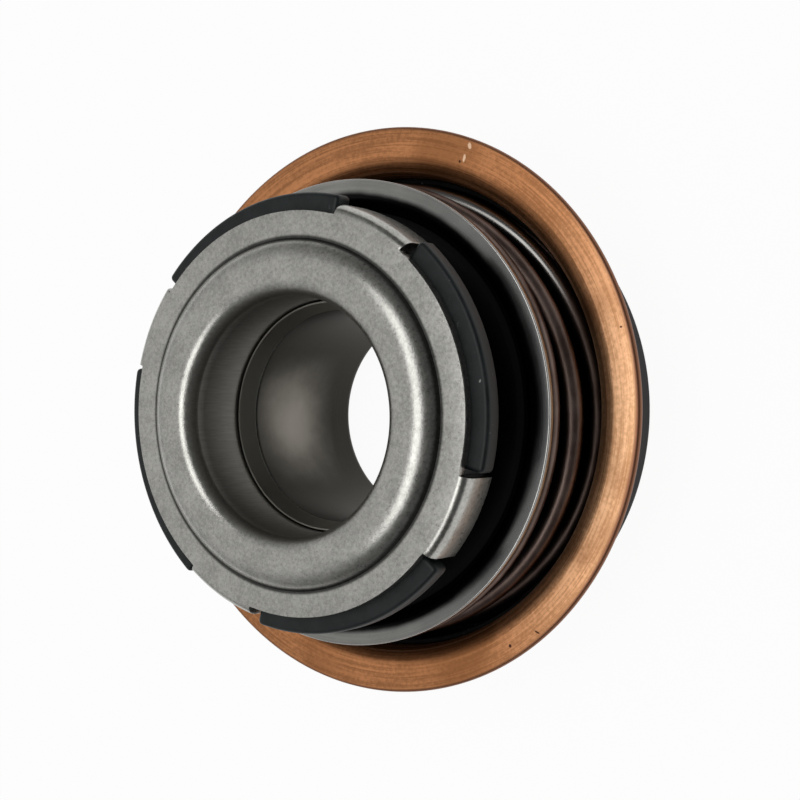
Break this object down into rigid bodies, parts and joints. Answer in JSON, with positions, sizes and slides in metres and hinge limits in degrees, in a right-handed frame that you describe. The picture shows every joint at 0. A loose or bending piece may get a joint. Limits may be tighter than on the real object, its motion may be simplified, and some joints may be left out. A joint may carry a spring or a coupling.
{
  "type": "pump seal",
  "caption": "Unitized pump shaft seal: flanged copper-coloured case, sprung carbon face, and a rubber-cupped mating ring held by a stamped steel collar on a sleeve.",
  "frame": {"origin": "on the shaft's axis, at the case's rear face", "axes": "+Z along the shaft's axis, from the case's rear face to the front collar; +X and +Y through the middles of the collar's tabs"},
  "size_m": [0.044, 0.044, 0.0223],
  "materials": {
    "collar_steel": "grainy matte",
    "sleeve_steel": "drawn, satin",
    "cup_rubber": "moulded, dull",
    "seat_ceramic": "lapped",
    "carbon": "machined",
    "shell_steel": "satin",
    "spring_wire": "drawn, polished",
    "bellows_rubber": "moulded",
    "case_copper": "turned, satin"
  },
  "bodies": {
    "housing": {"case": "case_copper", "bellows": "bellows_rubber", "spring": "spring_wire"},
    "face": {"carbon_ring": "carbon", "ring_shell": "shell_steel"},
    "rotor": {"drive_collar": "collar_steel", "shaft_sleeve": "sleeve_steel", "seat_cup": "cup_rubber", "seat_ring": "seat_ceramic"}
  },
  "joints": [
    {"name": "face_slide", "type": "slide", "parent": "housing", "child": "face", "axis": [0, 0, 1], "range_m": [-0.0013, 0], "stiffness_N_per_m": 8000, "springref_m": 0.00005, "deforming": ["spring", "bellows"]},
    {"name": "rotor_spin", "type": "hinge", "parent": "face", "child": "rotor", "pos_m": [0, 0, 0.0169], "axis": [0, 0, 1], "continuous": true}
  ]
}
